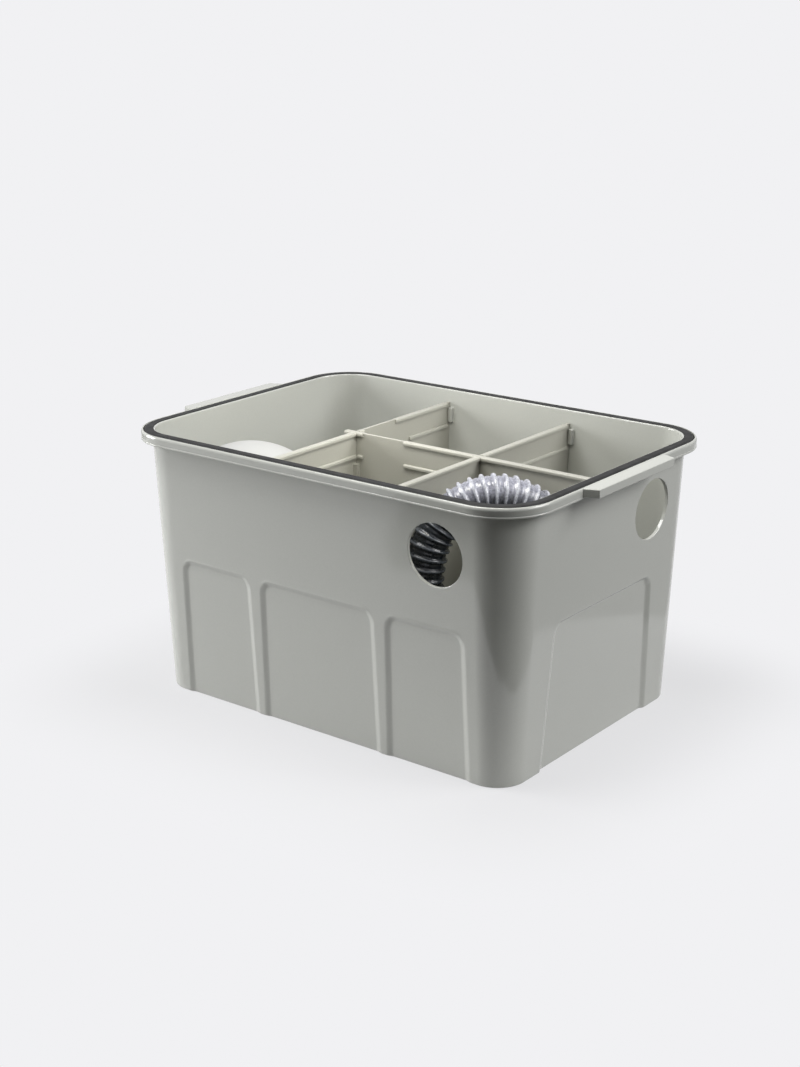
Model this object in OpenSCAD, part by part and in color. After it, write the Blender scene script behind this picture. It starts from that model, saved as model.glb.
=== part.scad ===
// Plaster trap: a moulded settling tub with three lift-out dividers, a rim seal,
// a corrugated drain hose and a domed filter standing in its end chamber.
// Millimetres, +Z up. The origin is at the middle of the tub, on the surface it stands on.
// The long front wall faces -Y and the wall with the outlet hole faces +X.

/* [Tub] */
// Length over the rim, without the grip ledges
tub_length = 411; // [380:1:440]
// Width over the rim
tub_width = 300; // [280:1:330]
// Height of the rim above the surface the tub stands on
tub_height = 235; // [225:1:260]
// Radius of the rim's corners, seen from above
rim_corner = 47; // [42:1:55]
// Slope of the walls from upright, in degrees
wall_draft = 2.7; // [1:0.1:3.5]
// Thickness of the walls
wall = 3; // [2:0.1:4]
// Thickness of the floor
floor_thickness = 3; // [2:0.1:5]
// Chamfer round the underside of the tub
foot_chamfer = 1.5; // [0.5:0.1:2]

/* [Rim] */
// How far the rim stands out past the top of the wall
rim_overhang = 9; // [7:0.1:12]
// Thickness of the lips and of the skirt
lip_thickness = 1.6; // [1:0.1:2]
// Height of the down-turned skirt
skirt_height = 8.5; // [7:0.1:14]
// Depth of the groove that holds the seal
groove_depth = 4; // [3:0.1:5]
// Thickness of the rim under the groove
rim_thickness = 2.5; // [1.5:0.1:3]
// How far a grip ledge stands out past the rim
ledge_reach = 12; // [8:0.5:20]
// Length of a grip ledge along its outer edge
ledge_length = 114; // [80:1:140]
// How much longer a grip ledge is at its root, at each end
ledge_bevel = 5; // [2:0.5:10]
// Height of a grip ledge's outer face
ledge_height = 7; // [5:0.5:10]

/* [Wall panels] */
// Height of the recessed panels' top edge
panel_top = 125; // [100:1:140]
// Depth of the recess
panel_depth = 2.8; // [1.5:0.1:3.5]
// Width of the sloped step round a panel
panel_step = 3.2; // [1:0.1:5]
// Radius of a panel's upper corners
panel_corner = 11; // [8:0.5:20]
// Width of the long walls' middle panel
middle_panel = 122; // [100:1:126]
// Width of each outer panel on the long walls
outer_panel = 79; // [60:1:82]
// Width of the posts between those panels
post_width = 10; // [9:0.5:14]
// Width of the short walls' panel
end_panel = 156; // [120:1:170]

/* [Pipe holes] */
// Diameter of the inlet and outlet holes
hole_diameter = 52; // [40:1:56]
// Drop from the rim's top to the holes' middle
hole_drop = 49.5; // [45:0.5:60]
// Inlet hole's place along the front wall, from the middle
inlet_offset = 123; // [100:1:130]
// Outlet hole's place along the end wall, from the middle
outlet_offset = 65; // [40:1:75]

/* [Seal] */
// How far the seal stands above the rim
seal_proud = 0.6; // [0:0.1:2]
// Clearance between the seal and each side of its groove
seal_clearance = 0.15; // [0.1:0.05:0.4]
// Rounding of the seal's upper edges
seal_edge = 1.2; // [0.4:0.1:1.8]

/* [Dividers] */
// Thickness of the divider plates
plate = 2.5; // [1.5:0.1:3]
// Drop from the rim's top to the dividers' top edge
divider_drop = 11.5; // [8:0.5:16]
// Drop from the dividers' top edge to the second bead's top
bead_spacing = 20; // [16:0.5:28]
// Width of the beads
bead_width = 6; // [5:0.1:8]
// Height of the beads
bead_height = 2.2; // [1.5:0.1:3]
// How far the long divider runs on past the left cross divider
divider_tail = 11; // [8:0.5:20]
// Clearance between the dividers and the tub
divider_clearance = 0.4; // [0.3:0.05:1]
// Clearance on each side of a plate in a slot or between lugs
slot_clearance = 0.3; // [0.2:0.05:0.6]
// Width of a flow notch at the foot of a cross divider
notch_width = 56; // [30:1:70]
// Height of a flow notch
notch_height = 26; // [15:1:40]
// Length of the stretch next to the left joint that has no beads
plain_stretch = 45; // [20:1:50]
// How much longer that stretch is along the left cross divider's second bead
second_plain = 20; // [0:1:30]
// Length of the bead stub at the left joint
joint_stub = 9; // [5:0.5:12]

/* [Guide lugs] */
// Height of a lug
lug_height = 14; // [8:0.5:18]
// Width of a lug along the wall
lug_width = 4.5; // [3:0.1:6]
// How far a lug stands out of its wall
lug_reach = 4; // [2.5:0.1:6]
// Drop from the dividers' top to the upper lugs' top
upper_lug_drop = 4.5; // [3:0.5:6]
// Drop from the second bead's top to the joint lugs' top
joint_lug_drop = 8; // [6:0.5:20]
// Drop from the upper lugs' top to the lower lugs' top
lower_lug_drop = 69; // [50:1:80]

/* [Drain hose] */
// Outer diameter of the corrugated hose
hose_diameter = 34; // [28:0.5:36]
// Outer diameter of a hose cuff
cuff_diameter = 40; // [38:0.5:42]
// Bore of a hose cuff
cuff_bore = 27; // [20:0.5:27.5]
// Clearance under each loose piece that stands on the floor
standing_gap = 0.3; // [0.2:0.05:0.5]

/* [Filter] */
// Diameter of the domed filter
filter_diameter = 96; // [70:1:110]
// Height of the filter from its foot to its crown
filter_height = 216.5; // [150:0.5:220]
// Radius of the crown
crown_radius = 75; // [60:1:110]
// Thickness of the filter's wall; it is open underneath
filter_wall = 2.5; // [1.5:0.1:5]
// Clearance between the filter and the front wall's foot
filter_clearance = 1; // [0.5:0.5:20]

/* [Hidden] */

$fn = 96;
// Overlap that makes a cut run clear of a face, or joins two unions
over = 0.5;
draft_rate = tan(wall_draft);
// Corner axes: the rim, the walls, the seal and the floor all turn round them
corner_x = tub_length / 2 - rim_corner;
corner_y = tub_width / 2 - rim_corner;
rim_top = tub_height;
groove_floor = rim_top - groove_depth;
rim_underside = groove_floor - rim_thickness;
skirt_foot = rim_top - skirt_height;
// Radius of the wall's outer face about a corner axis, at a height
function wall_radius(z) = rim_corner - rim_overhang - (rim_top - z) * draft_rate;
function inner_radius(z) = wall_radius(z) - wall;
groove_inner = inner_radius(rim_top) + lip_thickness;
groove_outer = rim_corner - lip_thickness;

// Panels' middles along the long walls: the posts stand between them
outer_panel_middle = middle_panel / 2 + post_width + outer_panel / 2;
// The cross dividers' ends stand in the grooves behind the posts
divider_x = middle_panel / 2 + post_width / 2;

// Levels that follow the rim
hole_height = rim_top - hole_drop;
divider_top = rim_top - divider_drop;
second_bead = divider_top - bead_spacing;
divider_foot = floor_thickness + standing_gap;
slot_level = (divider_foot + divider_top) / 2;
upper_lug_top = divider_top - upper_lug_drop;
lower_lug_top = upper_lug_top - lower_lug_drop;
joint_lug_top = second_bead - joint_lug_drop;
slot = plate + 2 * slot_clearance;
// Cross dividers lose their beads for this much beside the long divider
bead_gap = bead_width / 2 + slot_clearance;
// Inner faces of the panel pads at the floor
chamber_x = corner_x + inner_radius(divider_foot) - panel_depth;
chamber_y = corner_y + inner_radius(divider_foot) - panel_depth;

// Hose route: up from the front cuff, over the bend and down to the back cuff
hose_route = [
    [90, -98, 38], [90, -98, 66], [88.5, -100, 94], [86.8, -103, 122], [86, -104.3, 146],
    [86.8, -103.2, 160], [88, -101.4, 170], [89.4, -99.5, 178], [91.6, -96.6, 186], [94.2, -93.4, 192],
    [98.3, -88.8, 200], [106, -81, 208.5], [114.4, -72.5, 214], [123.5, -63.5, 216], [133.5, -53.5, 214],
    [142.5, -44.5, 208.5], [150.5, -36.5, 200], [156.5, -30.5, 189.5], [160.5, -26, 177], [161, -25, 164],
    [160, -24, 134], [158.5, -24, 102], [157, -24, 70], [157, -24, 38]
];
hose_sides = 12;
hose_start = hose_route[0];
hose_end = hose_route[len(hose_route) - 1];
// The filter stands midway between the end wall and the left cross divider, near the front wall
filter_x = -(chamber_x + divider_x + plate / 2) / 2;
filter_y = -(chamber_y - filter_diameter / 2 - filter_clearance);

// Sweeps a section drawn as [distance from the corner axis, height] round the tub
module round_the_tub() {
    for (side = [0, 180]) rotate(side) {
        translate([-corner_x, corner_y]) rotate([90, 0, 90]) linear_extrude(2 * corner_x) children();
        translate([corner_x, corner_y]) rotate_extrude(angle = 90) children();
        translate([corner_x, corner_y]) rotate([90, 0, 0]) linear_extrude(2 * corner_y) children();
        translate([-corner_x, corner_y]) rotate(90) rotate_extrude(angle = 90) children();
    }
}

// Wall, groove, lips and skirt in one section
module wall_section() {
    polygon([
        [wall_radius(0) - foot_chamfer, 0],
        [wall_radius(foot_chamfer), foot_chamfer],
        [wall_radius(rim_underside), rim_underside],
        [groove_outer, rim_underside],
        [groove_outer, skirt_foot],
        [rim_corner, skirt_foot],
        [rim_corner, rim_top],
        [groove_outer, rim_top],
        [groove_outer, groove_floor],
        [groove_inner, groove_floor],
        [groove_inner, rim_top],
        [inner_radius(rim_top), rim_top],
        [inner_radius(0), 0]
    ]);
}

module floor_slab() {
    reach = inner_radius(0) + wall / 3;
    linear_extrude(floor_thickness) {
        for (x = [-corner_x, corner_x], y = [-corner_y, corner_y]) translate([x, y]) circle(reach);
        square([2 * (corner_x + reach), 2 * corner_y], center = true);
        square([2 * corner_x, 2 * (corner_y + reach)], center = true);
    }
}

// A panel's form against a wall that stands at y = 0 and faces -Y. It is grow larger than the
// panel all round and runs from y = front to y = back. Its sides slope by the width of the
// step over the panel's depth, and its upper corners are cones.
module panel_form(width, grow, front, back) {
    rate = panel_step / panel_depth;
    half = width / 2 + grow;
    top = panel_top + grow;
    r = panel_corner + grow;
    foot = -panel_corner;
    f = front * rate;
    b = back * rate;
    translate([0, 0, foot]) linear_extrude(top - r - foot)
        polygon([[-half + f, front], [half - f, front], [half - b, back], [-half + b, back]]);
    translate([-half + r, 0, 0]) rotate([90, 0, 90]) linear_extrude(2 * (half - r))
        polygon([[front, foot], [back, foot], [back, top - b], [front, top - f]]);
    for (side = [-1, 1]) translate([side * (half - r), back, top - r]) rotate([90, 0, 0])
        cylinder(h = back - front, r1 = r - b, r2 = r - f);
}

// Puts a panel on the front wall, leaning with the wall
module on_long_wall(x) {
    translate([x, -(corner_y + wall_radius(0)), 0]) rotate([wall_draft, 0, 0]) children();
}

module on_end_wall() {
    rotate(90) translate([0, -(corner_x + wall_radius(0)), 0]) rotate([wall_draft, 0, 0]) children();
}

// Every panel of the tub, as recesses or as the pads behind them
module all_panels(grow, front, back) {
    for (turn = [0, 180]) rotate(turn) {
        on_long_wall(0) panel_form(middle_panel, grow, front, back);
        for (side = [-1, 1])
            on_long_wall(side * outer_panel_middle) panel_form(outer_panel, grow, front, back);
        on_end_wall() panel_form(end_panel, grow, front, back);
    }
}

module grip_ledge() {
    root = tub_length / 2 - lip_thickness / 2;
    edge = tub_length / 2 + ledge_reach;
    half = ledge_length / 2;
    t = lip_thickness;
    translate([0, 0, rim_top - rim_thickness]) linear_extrude(rim_thickness)
        polygon([[root, -half - ledge_bevel], [edge, -half], [edge, half], [root, half + ledge_bevel]]);
    translate([0, 0, rim_top - ledge_height]) linear_extrude(ledge_height) polygon([
        [root, -half - ledge_bevel], [edge, -half], [edge, half], [root, half + ledge_bevel],
        [root, half + ledge_bevel - t], [edge - t, half - t], [edge - t, -half + t],
        [root, -half - ledge_bevel + t]
    ]);
}

// A pair of lugs that hold a plate's end between them, on a wall that faces -Y at y = 0
module lug_pair(top) {
    for (side = [-1, 1])
        translate([side * (slot / 2 + lug_width / 2) - lug_width / 2, -lug_reach, top - lug_height])
            cube([lug_width, lug_reach + wall / 2, lug_height]);
}

module tub_lugs() {
    for (top = [upper_lug_top, lower_lug_top]) {
        reach = inner_radius(top);
        for (turn = [0, 180], x = [-divider_x, divider_x])
            rotate(turn) translate([x, corner_y + reach, 0]) lug_pair(top);
        rotate(-90) translate([0, corner_x + reach, 0]) lug_pair(top);
    }
}

module pipe_holes() {
    long = rim_corner;
    translate([inlet_offset, -corner_y - wall_radius(hole_height) + long / 2, hole_height])
        rotate([90, 0, 0]) cylinder(h = long, d = hole_diameter);
    translate([corner_x + wall_radius(hole_height) - long / 2, outlet_offset, hole_height])
        rotate([0, 90, 0]) cylinder(h = long, d = hole_diameter);
}

module tub() {
    color("#9fa199") difference() {
        union() {
            round_the_tub() wall_section();
            floor_slab();
            intersection() {
                all_panels(wall, wall / 3, panel_depth + wall);
                translate([-tub_length / 2, -tub_width / 2, 0])
                    cube([tub_length, tub_width, panel_top + 2 * wall]);
            }
            grip_ledge();
            rotate(180) grip_ledge();
            tub_lugs();
        }
        all_panels(0, -over, panel_depth);
        pipe_holes();
    }
}

module seal_section() {
    inner = groove_inner + seal_clearance;
    outer = groove_outer - seal_clearance;
    top = rim_top + seal_proud;
    polygon([
        [inner, groove_floor], [outer, groove_floor], [outer, top - seal_edge],
        [outer - seal_edge, top], [inner + seal_edge, top], [inner, top - seal_edge]
    ]);
}

module rim_seal() {
    color("#2d2e2e") round_the_tub() seal_section();
}

// Half the length of a divider that spans the tub, at a height, from the middle to the wall
function span(middle, z) = middle + inner_radius(z) - divider_clearance;

// A bead on both faces of a plate in the XZ plane, over [from, to] stretches
module beads(stretches, top) {
    for (stretch = stretches)
        translate([stretch[0], -bead_width / 2, top - bead_height])
            cube([stretch[1] - stretch[0], bead_width, bead_height]);
}

// The slot that takes a crossing plate or its top bead, from one height to another
module crossing_slot(x, width, from, to) {
    translate([x - width / 2, -bead_width, from]) cube([width, 2 * bead_width, to - from]);
}

// A cross divider, drawn in the XZ plane with its front end at -X: an upright plate that narrows
// with the tub, its top and second beads, the slot for the long divider and two flow notches
module cross_plate(upper, second) {
    low = span(corner_y, divider_foot);
    high = span(corner_y, divider_top);
    notch_middle = chamber_y / 2;
    difference() {
        union() {
            translate([0, plate / 2, 0]) rotate([90, 0, 0]) linear_extrude(plate)
                polygon([[-low, divider_foot], [low, divider_foot], [high, divider_top], [-high, divider_top]]);
            beads(upper, divider_top);
            beads(second, second_bead);
        }
        crossing_slot(0, slot, slot_level, divider_top + over);
        crossing_slot(0, 2 * bead_gap, divider_top - bead_height - slot_clearance, divider_top + over);
        for (side = [-1, 1])
            translate([side * notch_middle - notch_width / 2, -plate, divider_foot - over])
                cube([notch_width, 2 * plate, notch_height + over]);
    }
}

// Turns a divider drawn along X so that it runs along Y at x
module across(x) {
    translate([x, 0, 0]) rotate(90) children();
}

function bead_end(middle) = span(middle, second_bead - bead_height) - lug_reach - divider_clearance;

module cross_divider_left() {
    reach = bead_end(corner_y);
    joint_lugs = slot / 2 + lug_width / 2;
    plain = joint_stub + plain_stretch;
    near_joint = [[-reach, -bead_gap], [bead_gap, joint_stub]];
    color("#b9b9aa") across(-divider_x) {
        cross_plate(concat(near_joint, [[plain, reach]]), concat(near_joint, [[plain + second_plain, reach]]));
        for (side = [-1, 1])
            translate([side * joint_lugs - lug_width / 2, -lug_reach - plate / 2, joint_lug_top - lug_height])
                cube([lug_width, lug_reach + plate / 2, lug_height]);
    }
}

module cross_divider_right() {
    reach = bead_end(corner_y);
    stretches = [[-reach, -bead_gap], [bead_gap, reach]];
    color("#b9b9aa") across(divider_x) cross_plate(stretches, stretches);
}

// The long divider runs from its tail past the left cross divider to the end wall, where it steps
// in round the pad behind the end panel
module long_divider() {
    tail = -divider_x - divider_tail;
    low = span(corner_x, divider_foot) - panel_depth;
    pad_top = panel_top + wall + divider_clearance;
    shoulder = span(corner_x, pad_top) - panel_depth;
    high = span(corner_x, divider_top);
    reach = bead_end(corner_x);
    stretches = [[tail, joint_stub - divider_x], [joint_stub + plain_stretch - divider_x, reach]];
    color("#b9b9aa") difference() {
        union() {
            translate([0, plate / 2, 0]) rotate([90, 0, 0]) linear_extrude(plate) polygon([
                [tail, divider_foot], [low, divider_foot], [shoulder, pad_top],
                [span(corner_x, pad_top), pad_top], [high, divider_top], [tail, divider_top]
            ]);
            beads(stretches, divider_top);
            difference() {
                beads(stretches, second_bead);
                for (x = [-divider_x, divider_x])
                    crossing_slot(x, 2 * bead_gap, second_bead - bead_height - over, second_bead + over);
            }
        }
        for (x = [-divider_x, divider_x])
            crossing_slot(x, slot, divider_foot - over, slot_level + slot_clearance);
    }
}

function unit(v) = v / norm(v);
// The way the route runs at a point, from its neighbours
function heading(route, i) =
    unit(route[min(i + 1, len(route) - 1)] - route[max(i - 1, 0)]);
function ring_point(centre, along, radius, angle) =
    let (side = unit(cross(along, [1, -1, 0])), up = cross(along, side))
    centre + radius * (cos(angle) * side + sin(angle) * up);

// A closed tube along a route's points
module swept_tube(route, radius, sides) {
    last = len(route) - 1;
    points = [for (i = [0:last], k = [0:sides - 1])
        ring_point(route[i], heading(route, i), radius, 360 * k / sides)];
    skin = [for (i = [0:last - 1], k = [0:sides - 1])
        let (n = (k + 1) % sides) [i * sides + k, i * sides + n, (i + 1) * sides + n, (i + 1) * sides + k]];
    near = [for (k = [sides - 1:-1:0]) k];
    far = [for (k = [0:sides - 1]) last * sides + k];
    polyhedron(points = points, faces = concat(skin, [near, far]), convexity = 4);
}

module drain_hose() {
    color("#23272d") swept_tube(hose_route, hose_diameter / 2, hose_sides);
}

module hose_cuff(top) {
    foot = floor_thickness + standing_gap;
    color("#1d1f22") translate([top[0], top[1], foot]) difference() {
        cylinder(h = top[2] - foot, d = cuff_diameter);
        translate([0, 0, -over]) cylinder(h = top[2] - foot + 2 * over, d = cuff_bore);
    }
}

module hose_cuff_front() {
    hose_cuff(hose_start);
}

module hose_cuff_back() {
    hose_cuff(hose_end);
}

// Half of a domed cylinder's section
module dome_section(radius, crown, height) {
    intersection() {
        union() {
            translate([0, height - crown]) circle(crown);
            square([radius, height - crown]);
        }
        square([radius, height]);
    }
}

module filter() {
    radius = filter_diameter / 2;
    color("#e9eae6") translate([filter_x, filter_y, floor_thickness + standing_gap])
        rotate_extrude() difference() {
            dome_section(radius, crown_radius, filter_height);
            dome_section(radius - filter_wall, crown_radius - filter_wall, filter_height - filter_wall);
        }
}

tub();
rim_seal();
cross_divider_left();
cross_divider_right();
long_divider();
drain_hose();
hose_cuff_front();
hose_cuff_back();
filter();
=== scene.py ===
"""Plaster trap: a moulded settling tub with lift-out dividers, a rim seal, a corrugated drain
hose and a domed filter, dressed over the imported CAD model. Lengths in the dataclasses are in
millimetres in the part's own frame, except in the studio, where they are in metres. Meshes are
written in metres."""
import logging
import math
from collections.abc import Callable, Iterable, Sequence
from dataclasses import dataclass, field
from enum import Enum

import bmesh
import bpy
from mathutils import Matrix, Vector


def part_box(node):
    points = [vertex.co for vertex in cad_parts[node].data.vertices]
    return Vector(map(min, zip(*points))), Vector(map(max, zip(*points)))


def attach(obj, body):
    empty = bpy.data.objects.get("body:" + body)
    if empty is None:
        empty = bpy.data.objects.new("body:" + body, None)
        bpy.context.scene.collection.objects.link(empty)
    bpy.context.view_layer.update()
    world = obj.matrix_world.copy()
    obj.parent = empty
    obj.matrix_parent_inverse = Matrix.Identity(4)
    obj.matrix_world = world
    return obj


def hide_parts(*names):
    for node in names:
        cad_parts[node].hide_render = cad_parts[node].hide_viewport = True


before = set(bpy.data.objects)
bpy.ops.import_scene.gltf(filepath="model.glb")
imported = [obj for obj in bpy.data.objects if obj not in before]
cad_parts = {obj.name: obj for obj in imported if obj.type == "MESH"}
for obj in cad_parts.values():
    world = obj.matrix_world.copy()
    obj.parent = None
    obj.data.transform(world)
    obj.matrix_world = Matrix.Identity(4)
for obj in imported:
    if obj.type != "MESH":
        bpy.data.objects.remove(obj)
LOG = logging.getLogger("plaster_trap")
MM = 0.001
BODY = "root"
MERGE = 1e-6  # points closer than this, in metres, are one point
FULL = (0.0, 1.0)
NOISE_SPAN = (0.3, 0.7)  # where most of a noise's values lie

Point = tuple[float, float, float]
Pair = tuple[float, float]
Place = Callable[[float], float]
Node = bpy.types.Node


class Slot(Enum):
    """The record's material slots."""

    TUB = "tub"
    SEAL = "seal"
    DIVIDER = "divider"
    HOSE = "hose"
    CUFF = "cuff"
    FILTER = "filter"


class Side(Enum):
    """The tub's four walls, with the angle their outward normal makes with +X."""

    FRONT = -90.0
    RIGHT = 0.0
    BACK = 90.0
    LEFT = 180.0

    @property
    def normal(self) -> Pair:
        """The wall's outward normal."""
        angle = math.radians(self.value)
        return (round(math.cos(angle), 9), round(math.sin(angle), 9))

    @property
    def along(self) -> Pair:
        """The way along the wall, counter-clockwise round the tub."""
        return (-self.normal[1], self.normal[0])


def smooth(t: float) -> float:
    """Returns t eased from 0 to 1, level at both ends."""
    t = min(max(t, 0.0), 1.0)
    return t * t * (3.0 - 2.0 * t)


def spread(low: float, high: float, count: int) -> list[float]:
    """Returns count values between low and high, without the two ends."""
    return [low + (high - low) * (i + 1) / (count + 1) for i in range(count)]


def calculator(tree: bpy.types.NodeTree) -> Callable[..., bpy.types.NodeSocket]:
    """Makes a short call for a tree's Math nodes.

    Args:
        tree: the node tree.

    Returns:
        A call that takes an operation and its terms, adds the node and returns its output.
    """

    def calc(operation: str, *terms: object) -> bpy.types.NodeSocket:
        """Adds a Math node.

        Args:
            operation: what it does.
            terms: its inputs in order, each a socket to link or a plain number.

        Returns:
            Its output.
        """
        node = tree.nodes.new("ShaderNodeMath")
        node.operation = operation
        for socket, term in zip(node.inputs, terms):
            if isinstance(term, bpy.types.NodeSocket):
                tree.links.new(term, socket)
            else:
                socket.default_value = term
        return node.outputs[0]

    return calc


# Materials


@dataclass(frozen=True)
class Graph:
    """A material's node tree with short calls for adding and joining nodes."""

    material: bpy.types.Material

    @staticmethod
    def new(name: str) -> "Graph":
        """Starts a material that holds only its output and shader.

        Args:
            name: the material's name.

        Returns:
            Its graph.
        """
        material = bpy.data.materials.new(name)
        material.use_nodes = True
        material.node_tree.nodes.clear()
        graph = Graph(material)
        output = graph.add("ShaderNodeOutputMaterial")
        shader = graph.add("ShaderNodeBsdfPrincipled")
        graph.join(shader, "BSDF", output, "Surface")
        return graph

    def add(self, kind: str, **values: object) -> Node:
        """Adds a node.

        Args:
            kind: the node's type.
            values: its properties, or its inputs where the name starts with "in_".

        Returns:
            The node.
        """
        node = self.material.node_tree.nodes.new(kind)
        for name, value in values.items():
            if name.startswith("in_"):
                node.inputs[name[3:].replace("_", " ")].default_value = value
            else:
                setattr(node, name, value)
        return node

    def join(self, source: Node, out: str | int, target: Node, into: str | int) -> None:
        """Links one node's output to another's input."""
        self.material.node_tree.links.new(source.outputs[out], target.inputs[into])

    @property
    def shader(self) -> Node:
        """The surface shader."""
        return next(n for n in self.material.node_tree.nodes if n.type == "BSDF_PRINCIPLED")

    def noise(self, scale: float, detail: float, stretch: Point = (1.0, 1.0, 1.0)) -> Node:
        """Adds a noise on Object coordinates.

        Args:
            scale: features per metre.
            detail: octaves.
            stretch: scale factors along X, Y and Z.

        Returns:
            The noise node.
        """
        place = self.add("ShaderNodeTexCoord")
        mapping = self.add("ShaderNodeMapping", in_Scale=stretch)
        noise = self.add("ShaderNodeTexNoise", in_Scale=scale, in_Detail=detail)
        self.join(place, "Object", mapping, "Vector")
        self.join(mapping, "Vector", noise, "Vector")
        return noise

    def ramp(self, source: Node, out: str | int, span: Pair, to: Pair) -> Node:
        """Adds a clamped smooth map of a value from one range to another.

        Args:
            source: the node that gives the value.
            out: its output.
            span: the range that is mapped.
            to: the range that it is mapped to.

        Returns:
            The map's node.
        """
        node = self.add("ShaderNodeMapRange", interpolation_type="SMOOTHSTEP")
        for index, value in enumerate((*span, *to), start=1):
            node.inputs[index].default_value = value
        self.join(source, out, node, 0)
        return node

    def between(self, factor: Node, low: Sequence[float], high: Sequence[float]) -> Node:
        """Adds a colour mix driven by a factor.

        Args:
            factor: the node whose first output is the factor.
            low: colour at 0.
            high: colour at 1.

        Returns:
            The mix node, whose output 2 is the colour.
        """
        mix = self.add("ShaderNodeMix", data_type="RGBA")
        mix.inputs[6].default_value = (*low, 1.0)
        mix.inputs[7].default_value = (*high, 1.0)
        self.join(factor, 0, mix, 0)
        return mix

    def speckle(self, tone: Node, scale: float, span: Pair) -> None:
        """Joins a mixed colour to the shader with fine specks of lighter and darker in it.

        Args:
            tone: the Mix node that gives the colour.
            scale: how fine the specks are, in 1/m.
            span: the factors of the darkest and the lightest specks.
        """
        speck = self.ramp(self.noise(scale, 2.0), 0, NOISE_SPAN, span)
        grain = self.add("ShaderNodeVectorMath", operation="SCALE")
        self.join(tone, 2, grain, 0)
        self.join(speck, 0, grain, "Scale")
        self.join(grain, 0, self.shader, "Base Color")

    def skin(self, scale: float, detail: float, roughness: float, drift: Pair) -> None:
        """Joins a roughness that drifts from place to place to the shader.

        Args:
            scale: features per metre.
            detail: octaves.
            roughness: the plain roughness.
            drift: what the least and the greatest add to it.
        """
        span = (roughness + drift[0], roughness + drift[1])
        rough = self.ramp(self.noise(scale, detail), 0, NOISE_SPAN, span)
        self.join(rough, 0, self.shader, "Roughness")

    def bump(
        self, scale: float, detail: float, strength: float, distance: float,
        under: Node | None = None,
    ) -> Node:
        """Adds a bump of noise to the shader.

        Args:
            scale: features per metre.
            detail: octaves.
            strength: how strong it is, from 0 to 1.
            distance: its depth in metres.
            under: another bump beneath it.

        Returns:
            The bump node.
        """
        height = self.noise(scale, detail)
        node = self.add("ShaderNodeBump", in_Strength=strength, in_Distance=distance)
        self.join(height, 0, node, "Height")
        if under is not None:
            self.join(under, "Normal", node, "Normal")
        self.join(node, "Normal", self.shader, "Normal")
        return node


@dataclass(frozen=True)
class MouldedPlastic:
    """Injection-moulded plastic: faint flow marks in the colour, a skin that is not quite even
    in gloss, and the fine ripple that a steel mould leaves. Scales are in features per metre."""

    name: str
    colour: Point
    drift: float = 0.005
    roughness: float = 0.09
    ripple: float = 0.012
    marks: float = 9.0
    marks_stretch: Point = (1.0, 1.0, 0.35)
    speck_scale: float = 900.0
    speck_span: Pair = (0.985, 1.015)
    skin_scale: float = 35.0
    skin_drift: Pair = (-0.01, 0.015)
    wave_scale: float = 42.0
    wave_depth: float = 0.0004
    grain_scale: float = 1400.0
    grain_depth: float = 0.00004
    specular: float = 0.65

    def material(self) -> bpy.types.Material:
        """Makes the finish.

        Returns:
            The material.
        """
        graph = Graph.new(self.name)
        flow = graph.noise(self.marks, 3.0, self.marks_stretch)
        darker = tuple(c * (1.0 - self.drift) for c in self.colour)
        lighter = tuple(c * (1.0 + self.drift) for c in self.colour)
        tone = graph.between(graph.ramp(flow, 0, NOISE_SPAN, FULL), darker, lighter)
        graph.speckle(tone, self.speck_scale, self.speck_span)
        graph.skin(self.skin_scale, 4.0, self.roughness, self.skin_drift)
        waves = graph.bump(self.wave_scale, 1.0, self.ripple, self.wave_depth)
        graph.bump(self.grain_scale, 2.0, self.ripple * 2.0, self.grain_depth, waves)
        graph.shader.inputs["Specular IOR Level"].default_value = self.specular
        return graph.material


@dataclass(frozen=True)
class SealRubber:
    """Black extruded rubber: a dull skin with fine grain and a little dust in the colour."""

    name: str
    colour: Point = (0.010, 0.010, 0.010)
    dust: Point = (0.017, 0.017, 0.018)
    roughness: float = 0.55
    dust_scale: float = 48.0
    dust_span: Pair = (0.35, 0.75)
    skin_scale: float = 90.0
    skin_drift: Pair = (-0.05, 0.08)
    grain_scale: float = 2600.0
    grain: float = 0.25
    grain_depth: float = 0.00008
    specular: float = 0.22

    def material(self) -> bpy.types.Material:
        """Makes the finish.

        Returns:
            The material.
        """
        graph = Graph.new(self.name)
        cloud = graph.ramp(graph.noise(self.dust_scale, 4.0), 0, self.dust_span, FULL)
        graph.join(graph.between(cloud, self.colour, self.dust), 2, graph.shader, "Base Color")
        graph.skin(self.skin_scale, 3.0, self.roughness, self.skin_drift)
        graph.bump(self.grain_scale, 2.0, self.grain, self.grain_depth)
        graph.shader.inputs["Specular IOR Level"].default_value = self.specular
        return graph.material


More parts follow.
